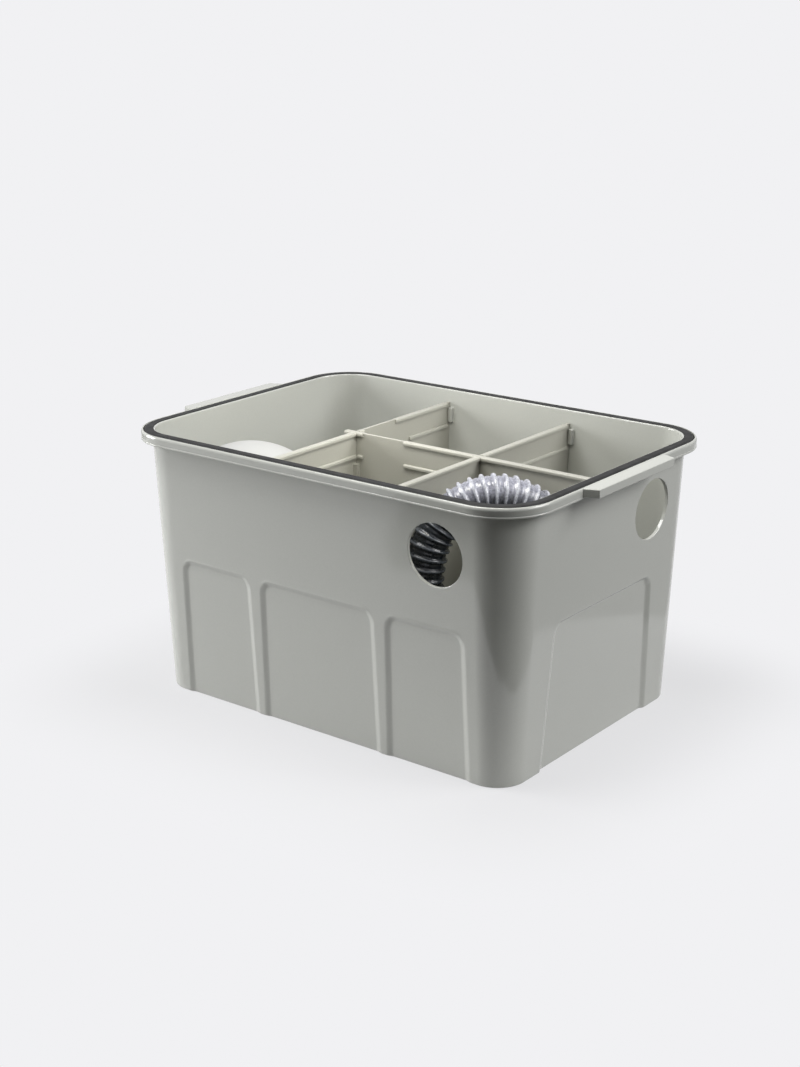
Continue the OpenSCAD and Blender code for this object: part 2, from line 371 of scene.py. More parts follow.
@dataclass(frozen=True)
class HoseVinyl:
    """Smoky glossy vinyl of the hose, nearly black in its legs. Its colour holds painted light: it
    turns pale with height over the bend, as painted light from above; the ribs' crests are lighter
    than the valleys, a painted highlight; and the coarse specks over the pale bend are painted
    glints. The two turns are the heights over which the ribs' crests and the valleys pass from dark
    to the painted pale."""

    name: str
    dark: Point = (0.012, 0.016, 0.022)
    # painted highlight: the crests are lighter than the valleys, here in the dark legs
    painted_crest_highlight: Point = (0.07, 0.08, 0.094)
    # painted light: this colour and the next are the hose lit from above over the bend
    painted_lit_valley: Point = (0.28, 0.285, 0.345)
    painted_lit_crest: Point = (0.44, 0.45, 0.505)
    # heights over which the painted light from above sets in
    lit_crest_turn: Pair = (197.0, 214.0)
    lit_valley_turn: Pair = (203.0, 228.0)
    crest: str = "crest"
    # which part of the crests gets the painted highlight
    crest_highlight_span: Pair = (0.4, 1.0)
    # the specks are strong enough to stand for glints, painted over the pale bend
    speck_scale: float = 620.0
    speck_span: Pair = (0.7, 1.25)
    skin_scale: float = 120.0
    roughness: float = 0.16
    skin_drift: Pair = (0.0, 0.18)
    crinkle_scale: float = 520.0
    crinkle: float = 0.6
    crinkle_depth: float = 0.0005
    coat: Pair = (0.08, 0.6)
    coat_roughness: float = 0.08

    def material(self) -> bpy.types.Material:
        """Makes the finish.

        Returns:
            The material.
        """
        graph = Graph.new(self.name)
        crest = graph.add("ShaderNodeAttribute", attribute_name=self.crest)
        place = graph.add("ShaderNodeTexCoord")
        split = graph.add("ShaderNodeSeparateXYZ")
        graph.join(place, "Object", split, 0)
        lit_valley_turn, lit_crest_turn = (
            (low * MM, high * MM) for low, high in (self.lit_valley_turn, self.lit_crest_turn)
        )
        # painted light: the valleys turn with height from the legs' near-black to pale, as lit from
        # above
        height = graph.ramp(split, "Z", lit_valley_turn, FULL)
        valley = graph.between(height, self.dark, self.painted_lit_valley)
        # the crests' painted highlight, paler with height under the painted light from above
        height = graph.ramp(split, "Z", lit_crest_turn, FULL)
        rib = graph.between(height, self.painted_crest_highlight, self.painted_lit_crest)
        # painted highlight: the crests are mixed in lighter than the valleys
        tone = graph.add("ShaderNodeMix", data_type="RGBA")
        graph.join(graph.ramp(crest, "Fac", self.crest_highlight_span, FULL), 0, tone, 0)
        graph.join(valley, 2, tone, 6)
        graph.join(rib, 2, tone, 7)
        # painted glints: the coarse specks over the pale bend
        graph.speckle(tone, self.speck_scale, self.speck_span)
        graph.skin(self.skin_scale, 3.0, self.roughness, self.skin_drift)
        graph.bump(self.crinkle_scale, 3.0, self.crinkle, self.crinkle_depth)
        graph.join(graph.ramp(split, "Z", lit_valley_turn, self.coat), 0, graph.shader, "Coat Weight")
        graph.shader.inputs["Coat Roughness"].default_value = self.coat_roughness
        return graph.material


TUB_GREY = MouldedPlastic("tub_plastic", (0.462, 0.470, 0.440))
DIVIDER_GREY = MouldedPlastic(
    "divider_plastic", (0.385, 0.38, 0.335), drift=0.012, roughness=0.3, marks=14.0
)
FILTER_WHITE = MouldedPlastic(
    "filter_plastic", (0.46, 0.463, 0.457), drift=0.01, roughness=0.5, ripple=0.03
)
SEAL_BLACK = SealRubber("seal_rubber")
CUFF_BLACK = SealRubber("cuff_rubber", (0.012, 0.012, 0.013), (0.022, 0.022, 0.024), 0.38)
HOSE_SMOKE = HoseVinyl("hose_vinyl")


# Meshes


class Draft:
    """A mesh under way: points in millimetres and faces by index."""

    def __init__(self) -> None:
        """Starts with no points."""
        self.points: list[Point] = []
        self.faces: list[list[int]] = []

    def ring(self, points: Iterable[Point]) -> list[int]:
        """Adds points.

        Args:
            points: the points in order.

        Returns:
            Their indices.
        """
        start = len(self.points)
        self.points.extend(points)
        return list(range(start, len(self.points)))

    def circle(self, x: float, y: float, z: float, radius: float, count: int) -> list[int]:
        """Adds a level circle of points.

        Args:
            x: its middle's place on X.
            y: its middle's place on Y.
            z: its height.
            radius: its radius.
            count: how many points it has.

        Returns:
            Their indices.
        """
        turns = [2 * math.pi * k / count for k in range(count)]
        return self.ring((x + radius * math.cos(t), y + radius * math.sin(t), z) for t in turns)

    def strip(self, low: Sequence[int], high: Sequence[int]) -> None:
        """Joins two closed rings with quads, or with triangles where one is a single point.

        Args:
            low: the first ring's indices.
            high: the second ring's, as many unless either has one alone.
        """
        if len(low) == 1 or len(high) == 1:
            tip, ring = (low[0], high) if len(low) == 1 else (high[0], low)
            self.faces += [[tip, ring[i], ring[(i + 1) % len(ring)]] for i in range(len(ring))]
            return
        for i in range(len(low)):
            j = (i + 1) % len(low)
            self.faces.append([low[i], low[j], high[j], high[i]])

    def loft(self, rings: Sequence[Sequence[int]], closed: bool = False) -> None:
        """Joins each ring to the next.

        Args:
            rings: the rings' indices, in order.
            closed: whether the last is joined to the first.
        """
        for low, high in zip(rings, rings[1:]):
            self.strip(low, high)
        if closed:
            self.strip(rings[-1], rings[0])

    def mesh(self, name: str) -> bpy.types.Mesh:
        """Makes the mesh in metres, with its doubles merged and its faces outwards.

        Args:
            name: its name.

        Returns:
            The mesh.
        """
        mesh = bpy.data.meshes.new(name)
        mesh.from_pydata([tuple(c * MM for c in p) for p in self.points], [], self.faces)
        work = bmesh.new()
        work.from_mesh(mesh)
        bmesh.ops.remove_doubles(work, verts=work.verts, dist=MERGE)
        bmesh.ops.recalc_face_normals(work, faces=work.faces)
        work.to_mesh(mesh)
        work.free()
        return mesh


def stand(name: str, mesh: bpy.types.Mesh) -> bpy.types.Object:
    """Links a new object that holds a mesh.

    Args:
        name: the object's name.
        mesh: the mesh.

    Returns:
        The object.
    """
    thing = bpy.data.objects.new(name, mesh)
    bpy.context.scene.collection.objects.link(thing)
    return thing


def evaluated(thing: bpy.types.Object) -> bpy.types.Mesh:
    """Returns an object's shape with its modifiers as a new plain mesh."""
    graph = bpy.context.evaluated_depsgraph_get()
    return bpy.data.meshes.new_from_object(thing.evaluated_get(graph), depsgraph=graph)


def bake(thing: bpy.types.Object) -> None:
    """Turns an object's modifiers into its plain mesh and takes them off.

    Args:
        thing: the object.
    """
    mesh, old = evaluated(thing), thing.data
    thing.modifiers.clear()
    thing.data = mesh
    bpy.data.meshes.remove(old)


def discard(thing: bpy.types.Object) -> None:
    """Deletes an object and its mesh.

    Args:
        thing: the object.
    """
    mesh = thing.data
    bpy.data.objects.remove(thing)
    bpy.data.meshes.remove(mesh)


def combine(thing: bpy.types.Object, other: bpy.types.Object, operation: str) -> None:
    """Joins or cuts one object with another and deletes the other.

    Args:
        thing: the object that is kept.
        other: the object that joins or cuts it.
        operation: UNION or DIFFERENCE.
    """
    tool = thing.modifiers.new(operation, "BOOLEAN")
    tool.object = other
    tool.operation = operation
    tool.solver = "EXACT"
    bake(thing)
    discard(other)


def soften(thing: bpy.types.Object, width: float, angle: float, segments: int) -> None:
    """Rounds an object's edges.

    Args:
        thing: the object.
        width: width of the rounding in millimetres.
        angle: the least angle between faces, in degrees, of an edge that is rounded.
        segments: faces across the rounding.
    """
    bevel = thing.modifiers.new("edges", "BEVEL")
    bevel.width = width * MM
    bevel.segments = segments
    bevel.limit_method = "ANGLE"
    bevel.angle_limit = math.radians(angle)
    bevel.use_clamp_overlap = True
    bake(thing)


def shade(thing: bpy.types.Object, angle: float) -> None:
    """Shades an object smooth, with its sharp edges kept sharp and its flat faces flat.

    Args:
        thing: the object.
        angle: the angle between faces, in degrees, from which an edge is sharp.
    """
    mesh = thing.data
    work = bmesh.new()
    work.from_mesh(mesh)
    for face in work.faces:
        face.smooth = True
    for edge in work.edges:
        edge.smooth = len(edge.link_faces) == 2 and edge.calc_face_angle(0.0) < math.radians(angle)
    work.to_mesh(mesh)
    work.free()
    weigh = thing.modifiers.new("normals", "WEIGHTED_NORMAL")
    weigh.keep_sharp = True
    weigh.weight = 60
    bake(thing)


def dress(thing: bpy.types.Object, finish: bpy.types.Material, slot: Slot, *nodes: str) -> None:
    """Gives a piece its material and its place on the part.

    Args:
        thing: the piece.
        finish: its material.
        slot: the record's slot that it is repainted from, which is not used.
        nodes: the CAD nodes that it stands for.
    """
    thing.data.materials.clear()
    thing.data.materials.append(finish)
    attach(thing, BODY)
    if nodes:
        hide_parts(*nodes)
    LOG.info("%s: %d faces", thing.name, len(thing.data.polygons))


def closed_copy(node: str, name: str) -> bpy.types.Object:
    """Copies a CAD node as a merged solid whose flat faces are whole again.

    Args:
        node: the CAD node.
        name: the copy's name.

    Returns:
        The copy, with no material.
    """
    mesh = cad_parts[node].data.copy()
    mesh.name = name
    work = bmesh.new()
    work.from_mesh(mesh)
    bmesh.ops.remove_doubles(work, verts=work.verts, dist=2 * MERGE)
    flat = math.radians(0.5)
    bmesh.ops.dissolve_limit(work, angle_limit=flat, verts=work.verts, edges=work.edges)
    work.to_mesh(mesh)
    work.free()
    mesh.materials.clear()
    return stand(name, mesh)


# The tub


@dataclass(frozen=True)
class Panel:
    """A recessed panel: its middle and half width along the wall at its top edge, the height of
    that edge, how much wider it gets on each side for each millimetre down, and its depth."""

    middle: float
    half: float
    top: float
    splay: float
    recess: float

    def edge(self, side: int, z: float) -> float:
        """Returns where the panel's edge is along the wall, side being -1 or 1."""
        return self.middle + side * (self.half + self.splay * max(self.top - z, 0.0))

    def depth_in(self, u: float, z: float, radius: float, grow: float) -> float:
        """Measures how far a point is inside the panel's outline.

        Args:
            u: the point's place along the wall.
            z: its height.
            radius: radius of the upper corners.
            grow: how much the outline is enlarged.

        Returns:
            The distance, negative outside the outline.
        """
        radius += grow
        dx = min(u - self.edge(-1, z), self.edge(1, z) - u) + grow
        dz = self.top + grow - z
        if dx < radius and dz < radius:
            return radius - math.hypot(radius - dx, radius - dz)
        return min(dx, dz)


@dataclass(frozen=True)
class Column:
    """A line of points up the tub: its outward normal, the way along the wall, how far out the
    corner axes are, its place along the wall at a height, and the panels that its wall has."""

    normal: Pair
    along: Pair
    base: float
    place: Place
    panels: tuple[Panel, ...]

    def at(self, z: float, radius: float) -> Point:
        """Finds a point of the column.

        Args:
            z: its height.
            radius: its distance from the corner axes.

        Returns:
            The point.
        """
        u = self.place(z)
        reach = self.base + radius
        x, y = (n * reach + a * u for n, a in zip(self.normal, self.along))
        return (x, y, z)


@dataclass
class Tub:
    """The moulded tub with its rim, grips, wall panels, guide lugs and pipe holes."""

    length: float = 411.0
    width: float = 300.0
    height: float = 235.0
    rim_corner: float = 47.0
    overhang: float = 9.0
    draft: float = math.tan(math.radians(2.7))
    wall: float = 3.0
    floor: float = 3.0
    lip: float = 1.6
    lip_rise: float = 2.7
    skirt: float = 8.5
    groove: float = 4.0
    rim_plate: float = 2.5
    corner_columns: int = 28
    column_gap: float = 9.0
    inner_share: float = 0.9  # how much of the wall's thickness the panels' pads are wider by

    # The panels. A step is the width over which the wall sinks, and starts a little outside it.
    long_panels: tuple[Panel, ...] = (
        Panel(-110.5, 39.5, 125.0, 0.018, 1.5),
        Panel(0.0, 61.0, 125.0, 0.018, 1.5),
        Panel(110.5, 39.5, 125.0, 0.018, 1.5),
    )
    end_panels: tuple[Panel, ...] = (Panel(0.0, 74.0, 126.0, 0.065, 2.6),)
    panel_corner: float = 11.0
    panels_end: float = 132.0
    side_step: float = 6.0
    top_step: float = 3.3
    step_turn: float = 3.0
    step_lead: float = 0.1
    ridge: float = 0.32
    ridge_out: float = 1.0
    ridge_half: float = 1.3
    step_offsets: tuple[float, ...] = (
        -1.4, -0.6, 0.0, 0.6, 1.2, 1.8, 2.4, 3.0, 3.6, 4.2, 4.8, 5.4, 6.2, 7.4, 8.8, 10.4, 12.5,
    )

    # Heights of the section's points, close together at the panels' top edges. At the foot and
    # the floor each has how far the wall is drawn in there.
    foot_rows: tuple[Pair, ...] = ((0.0, 1.5), (0.25, 0.75), (0.8, 0.2), (1.6, 0.0))
    outer_rows: tuple[float, ...] = (
        6, 14, 26, 38, 50, 62, 74, 86, 96, 104, 109,
        *(111.5 + 0.75 * k for k in range(15)),
        122.6, 123.2, 123.8, 124.2, 124.6, 125, 125.5, 126, 126.6, 127.5, 129.5,
        136, 148, 160, 173, 186, 199, 212, 221, 226.3,
    )
    inner_rows: tuple[float, ...] = (
        228, 216, 203, 190, 176, 162, 148, 137,
        131, 129.4, 128.7, 128, 127.3, 126.6, 125.9, 125.2, 124.4, 123, 120, 117, 114, 108,
        96, 78, 60, 42, 26, 14, 8.0,
    )
    floor_rows: tuple[Pair, ...] = ((2.6, 0.4), (1.2, 1.2), (0.4, 2.3), (0.0, 3.8))

    # The pipe holes. A mouth's points are a depth into the wall and a flare of the radius.
    hole: float = 26.0
    hole_height: float = 185.5
    hole_points: int = 96
    inlet: float = 123.0
    outlet: float = 65.0
    mouths: tuple[Pair, ...] = (
        (-9.0, 0.5), (-0.02, 0.32), (0.06, 0.2), (0.16, 0.08), (0.35, 0.0),
        (2.65, 0.0), (2.84, 0.08), (2.94, 0.2), (3.02, 0.32), (12.0, 0.5),
    )

    # The grips at both ends, each a ledge with a hollow underside.
    grip_root: float = 0.8
    grip_reach: float = 12.0
    grip_half: float = 57.0
    grip_splay: float = 5.0
    grip_wall: float = 1.6
    grip_top: float = 0.02
    grip_plate: float = 2.5
    grip_depth: float = 7.0
    grip_edge: float = 0.7

    # The guide lugs, in pairs that stand on both sides of a plate's end.
    divider_x: float = 66.0
    divider_top: float = 223.5
    plate_slot: float = 3.1
    lug_half: float = 2.25
    lug_drop: float = 4.5
    low_lug_top: float = 150.0
    lug_outline: tuple[Pair, ...] = (
        (-2.25, -1.5), (-2.25, 3.2), (-1.5, 4.0), (1.5, 4.0), (2.25, 3.2), (2.25, -1.5),
    )
    lug_rows: tuple[Pair, ...] = (
        (0.0, 0.7), (-0.35, 0.2), (-1.0, 0.0), (-13.0, 0.0), (-13.7, 0.2), (-14.0, 0.7),
    )
    columns: list[Column] = field(default_factory=list)

    @property
    def corner_x(self) -> float:
        """Distance of the corner axes from the middle, along X."""
        return self.length / 2 - self.rim_corner

    @property
    def corner_y(self) -> float:
        """Distance of the corner axes from the middle, along Y."""
        return self.width / 2 - self.rim_corner

    def outer(self, z: float) -> float:
        """Returns the wall's outer radius about a corner axis at a height."""
        return self.rim_corner - self.overhang - (self.height - z) * self.draft

    def sunk(self, column: Column, z: float, grow: float = 0.0) -> float:
        """Measures how far the wall is recessed at a point. A slight ridge stands proud just
        above a panel's top edge, where the step is narrower than at the sides.

        Args:
            column: the point's column.
            z: its height.
            grow: how much the panels are enlarged, for the pads behind them.

        Returns:
            The depth of the recess.
        """
        if not column.panels or z > self.panels_end:
            return 0.0
        u = column.place(z)
        depths = ((p.depth_in(u, z, self.panel_corner, grow), p) for p in column.panels)
        inside, panel = max(depths, key=lambda pair: pair[0])
        upper = min(max(1.0 - (panel.top + grow - z - inside) / self.step_turn, 0.0), 1.0)
        step = self.side_step + (self.top_step - self.side_step) * upper
        bump = smooth(1.0 - abs(inside + self.ridge_out) / self.ridge_half)
        share = (inside / step + self.step_lead) / (1.0 + 2 * self.step_lead)
        return panel.recess * smooth(share) - self.ridge * upper * bump

    def wall_places(self, half: float, panels: tuple[Panel, ...]) -> list[Place]:
        """Places the columns along a wall, close together at the panels' edges.

        Args:
            half: half the wall's straight length.
            panels: its panels, from one end to the other.

        Returns:
            Each column's place at a height.
        """
        keys: list[Place] = [lambda z: -half]
        for panel in panels:
            for side, offsets in ((-1, self.step_offsets), (1, self.step_offsets[::-1])):
                keys += [(lambda z, p=panel, s=side, o=o: p.edge(s, z) - s * o) for o in offsets]
        keys.append(lambda z: half)
        places: list[Place] = []
        half_way = self.panels_end / 2
        for low, high in zip(keys, keys[1:]):
            places.append(low)
            extra = max(int((high(half_way) - low(half_way)) / self.column_gap), 0)
            for t in spread(0.0, 1.0, extra):
                places.append(lambda z, a=low, b=high, t=t: a(z) * (1 - t) + b(z) * t)
        return places

    def make_columns(self) -> None:
        """Fills the columns, counter-clockwise from the front wall's left end."""
        for side in (Side.FRONT, Side.RIGHT, Side.BACK, Side.LEFT):
            normal, along = side.normal, side.along
            half, base, panels = self.corner_x, self.corner_y, self.long_panels
            if side in (Side.RIGHT, Side.LEFT):
                half, base, panels = self.corner_y, self.corner_x, self.end_panels
            for place in self.wall_places(half, panels):
                self.columns.append(Column(normal, along, base, place, panels))
            axis = Vector([n * base + a * half for n, a in zip(normal, along)])
            for k in range(self.corner_columns):
                turn = math.radians(side.value) + math.radians(90.0) * k / self.corner_columns
                out = (math.cos(turn), math.sin(turn))
                reach = axis.x * out[0] + axis.y * out[1]
                u = -axis.x * out[1] + axis.y * out[0]
                self.columns.append(Column(out, (-out[1], out[0]), reach, (lambda z, u=u: u), ()))

    def section(self) -> list[tuple[float, Callable[[Column], float]]]:
        """Draws the wall's section, from the foot up the outside, round the rim and down the
        inside to the floor.

        Returns:
            Its points, each a height and the radius there for a column.
        """
        rows: list[tuple[float, Callable[[Column], float]]] = []

        def out(z: float, less: float = 0.0) -> None:
            """Adds a point of the outside, less being how far it is drawn in."""
            rows.append((z, lambda c: self.outer(z) - self.sunk(c, z) - less))

        def fixed(z: float, radius: float) -> None:
            """Adds a point of the rim."""
            rows.append((z, lambda c: radius))

        def inn(z: float, less: float = 0.0) -> None:
            """Adds a point of the inside, less being how far it is drawn in."""
            pad = self.wall * self.inner_share
            rows.append((z, lambda c: self.outer(z) - self.wall - self.sunk(c, z, pad) - less))

        top, foot = self.height, self.height - self.skirt
        seat = top - self.groove
        under = seat - self.rim_plate
        edge_in, edge_out = self.rim_corner - self.lip, self.rim_corner
        lip_in = self.outer(top) - self.wall
        lip_out = lip_in + self.lip
        for z, less in self.foot_rows:
            out(z, less)
        for z in self.outer_rows:
            out(z)
        for z, radius in (
            (under - 0.9, self.outer(under) + 0.15), (under - 0.25, self.outer(under) + 0.5),
            (under, self.outer(under) + 1.3), (under, edge_in - 0.5), (under - 0.2, edge_in),
            (foot + 0.5, edge_in), (foot + 0.1, edge_in + 0.2), (foot, edge_in + 0.6),
            (foot, edge_out - 0.2), (foot + 0.15, edge_out + 0.15), (foot + 0.5, edge_out + 0.3),
            (foot + 1.2, edge_out + 0.3), (foot + 1.5, edge_out + 0.15),
            (foot + 1.7, edge_out - 0.1),
        ):
            fixed(z, radius)
        for k in range(9):
            turn = math.radians(10.0 * k)
            radius = edge_in + 0.1 + (self.lip + 0.1) * math.cos(turn)
            fixed(top - self.lip_rise + self.lip_rise * math.sin(turn), radius)
        for z, radius in (
            (top, edge_in + 0.12), (top - 0.1, edge_in), (seat, edge_in),
            (seat, lip_out), (top - 0.2, lip_out), (top, lip_out - 0.2),
        ):
            fixed(z, radius)
        for k in range(6):
            turn = math.radians(15.0 * k)
            fixed(top - 1.6 + 1.6 * math.cos(turn), lip_in + 1.1 - 1.1 * math.sin(turn))
        for z in self.inner_rows:
            inn(z)
        for rise, less in self.floor_rows:
            inn(self.floor + rise, less)
        return rows

    def shell(self) -> bpy.types.Object:
        """Makes the tub's wall, rim and floor.

        Returns:
            One closed object.
        """
        self.make_columns()
        draft = Draft()
        rings = [draft.ring(c.at(z, r(c)) for c in self.columns) for z, r in self.section()]
        draft.loft(rings)
        draft.faces.append(list(reversed(rings[0])))
        draft.faces.append(list(rings[-1]))
        return stand("tub_shell", draft.mesh("tub_shell"))

    def pipe_cutter(self, side: Side, place: float) -> bpy.types.Object:
        """Makes a cutter for a pipe hole whose mouths are rounded, both parallel to the wall.

        Args:
            side: the wall.
            place: the hole's place along it.

        Returns:
            The cutter.
        """
        base = self.corner_y if side is Side.FRONT else self.corner_x
        draft = Draft()
        rings = []
        for inwards, flare in self.mouths:
            points = []
            for k in range(self.hole_points):
                turn = 2 * math.pi * k / self.hole_points
                u = place + (self.hole + flare) * math.cos(turn)
                z = self.hole_height + (self.hole + flare) * math.sin(turn)
                reach = base + self.outer(z) - inwards
                x, y = (n * reach + a * u for n, a in zip(side.normal, side.along))
                points.append((x, y, z))
            rings.append(draft.ring(points))
        draft.loft(rings)
        draft.faces.append(list(rings[0]))
        draft.faces.append(list(reversed(rings[-1])))
        return stand("pipe_cutter", draft.mesh("pipe_cutter"))

    def grip(self, side: int) -> bpy.types.Object:
        """Makes the grip ledge on an end wall.

        Args:
            side: 1 for the wall at +X and -1 for the one at -X.

        Returns:
            The ledge.
        """
        root, edge = self.length / 2 - self.grip_root, self.length / 2 + self.grip_reach
        depths = (self.grip_top, self.grip_plate, self.grip_depth)
        top, under, low = (self.height - depth for depth in depths)
        half, wide, t = self.grip_half, self.grip_half + self.grip_splay, self.grip_wall
        outline = [(root, -wide), (edge, -half), (edge, half), (root, wide)]
        inner = [
            (root, 2 * t - wide), (edge - t, t - half), (edge - t, half - t), (root, wide - 2 * t),
        ]
        draft = Draft()
        rings = [
            draft.ring((side * x, y, z) for x, y in line)
            for line, z in ((outline, top), (outline, low), (inner, low), (inner, under))
        ]
        draft.loft(rings)
        draft.faces.append(list(rings[0]))
        draft.faces.append(list(rings[-1]))
        ledge = stand("grip", draft.mesh("grip"))
        soften(ledge, self.grip_edge, 30.0, 3)
        return ledge

    def lug(self, whole: Draft, middle: Point, normal: Pair) -> None:
        """Adds a guide lug, a rounded post of 4.5 x 5.5 x 14 mm.

        Args:
            whole: the mesh that it is added to.
            middle: the middle of its top.
            normal: the way it stands out of the wall.
        """
        along = (-normal[1], normal[0])
        rings = []
        for z, shrink in self.lug_rows:
            points = []
            for u, v in self.lug_outline:
                aside, out = u * (1 - shrink / 3), v if v < 0 else v - shrink
                x, y = (m + a * aside + n * out for m, a, n in zip(middle, along, normal))
                points.append((x, y, middle[2] + z))
            rings.append(whole.ring(points))
        whole.loft(rings)
        whole.faces.append(list(rings[0]))
        whole.faces.append(list(reversed(rings[-1])))

    def lugs(self) -> bpy.types.Object:
        """Makes every guide lug on the walls.

        Returns:
            All of them as one object.
        """
        whole = Draft()
        gap = self.plate_slot / 2 + self.lug_half
        for top in (self.divider_top - self.lug_drop, self.low_lug_top):
            reach = self.outer(top) - self.wall
            for shift in (-gap, gap):
                for x in (-self.divider_x, self.divider_x):
                    self.lug(whole, (x + shift, self.corner_y + reach, top), (0.0, -1.0))
                    self.lug(whole, (x + shift, -self.corner_y - reach, top), (0.0, 1.0))
                self.lug(whole, (self.corner_x + reach, shift, top), (-1.0, 0.0))
        return stand("lugs", whole.mesh("lugs"))

    def build(self) -> bpy.types.Object:
        """Makes the whole tub.

        Returns:
            The finished piece.
        """
        tub = self.shell()
        for side in (-1, 1):
            combine(tub, self.grip(side), "UNION")
        combine(tub, self.lugs(), "UNION")
        combine(tub, self.pipe_cutter(Side.FRONT, self.inlet), "DIFFERENCE")
        combine(tub, self.pipe_cutter(Side.RIGHT, self.outlet), "DIFFERENCE")
        tub.name = "moulded_tub"
        shade(tub, 34.0)
        dress(tub, TUB_GREY.material(), Slot.TUB, "tub")
        return tub


# The loose pieces


@dataclass
class RimSeal:
    """The rubber seal in the rim's groove, with a crowned top between two rounded shoulders.
    Inner and outer are distances from the tub's corner axes."""

    tub: Tub
    inner: float = 36.75
    outer: float = 45.25
    foot: float = 231.0
    top: float = 235.6
    inner_shoulder: float = 0.6
    outer_shoulder: float = 3.2

    def profile(self) -> list[Pair]:
        """Draws the section, counter-clockwise.

        Returns:
            Its points as radius and height.
        """
        points = [(self.inner, self.foot), (self.outer, self.foot)]
        for middle, radius, start in (
            (self.outer - self.outer_shoulder, self.outer_shoulder, 0.0),
            (self.inner + self.inner_shoulder, self.inner_shoulder, 90.0),
        ):
            for k in range(9):
                turn = math.radians(start + 90.0 * k / 8)
                height = self.top - radius + radius * math.sin(turn)
                points.append((middle + radius * math.cos(turn), height))
        return points

    def build(self) -> bpy.types.Object:
        """Makes the seal round the columns of the tub, which is built before it.

        Returns:
            The finished piece.
        """
        draft = Draft()
        rings = [draft.ring(c.at(z, r) for c in self.tub.columns) for r, z in self.profile()]
        draft.loft(rings, closed=True)
        seal = stand("rim_seal_strip", draft.mesh("rim_seal_strip"))
        shade(seal, 50.0)
        dress(seal, SEAL_BLACK.material(), Slot.SEAL, "rim_seal")
        return seal


@dataclass
class Dividers:
    """The three lift-out divider plates: the CAD plates with their beads' upper edges well
    rounded and their other moulded edges lightly so."""

    edge: float = 0.4
    bead_edge: float = 1.35
    bead_reach: float = 3.0
    bead_height: float = 2.2
    bead_drop: float = 0.8
    bead_tops: Pair = (223.5, 203.5)
    near: float = 0.02
    plates: tuple[tuple[str, int, float], ...] = (
        ("cross_divider_left", 0, -66.0),
        ("cross_divider_right", 0, 66.0),
        ("long_divider", 1, 0.0),
    )

    def round_beads(self, plate: bpy.types.Object, across: int, middle: float) -> None:
        """Rounds the beads' upper edges and lowers their undersides a little.

        Args:
            plate: the plate.
            across: the axis across the plate, 0 or 1.
            middle: where the plate's middle is on that axis.
        """
        work = bmesh.new()
        work.from_mesh(plate.data)

        def at_height(vertex: bmesh.types.BMVert, below: float) -> bool:
            """Tells whether a point is a given distance below a bead's top."""
            return any(abs(vertex.co.z / MM - z + below) < self.near for z in self.bead_tops)

        def on_edge(vertex: bmesh.types.BMVert) -> bool:
            """Tells whether a point is on a bead's upper edge."""
            reach = abs(vertex.co[across] / MM - middle)
            return abs(reach - self.bead_reach) < self.near and at_height(vertex, 0.0)

        def along_bead(edge: bmesh.types.BMEdge) -> bool:
            """Tells whether an edge runs along a bead's upper edge."""
            straight = abs(edge.verts[0].co[across] - edge.verts[1].co[across]) < 10 * MERGE
            return straight and all(on_edge(vertex) for vertex in edge.verts)

        for vertex in work.verts:
            if at_height(vertex, self.bead_height):
                vertex.co.z -= self.bead_drop * MM
        edges = [edge for edge in work.edges if along_bead(edge)]
        bmesh.ops.bevel(
            work, geom=edges, offset=self.bead_edge * MM, segments=4, profile=0.5,
            affect="EDGES", clamp_overlap=True,
        )
        work.to_mesh(plate.data)
        work.free()

    def build(self) -> list[bpy.types.Object]:
        """Makes the three plates.

        Returns:
            The finished pieces.
        """
        finish = DIVIDER_GREY.material()
        done = []
        for node, across, middle in self.plates:
            plate = closed_copy(node, node + "_plate")
            self.round_beads(plate, across, middle)
            soften(plate, self.edge, 40.0, 2)
            shade(plate, 34.0)
            dress(plate, finish, Slot.DIVIDER, node)
            done.append(plate)
        return done


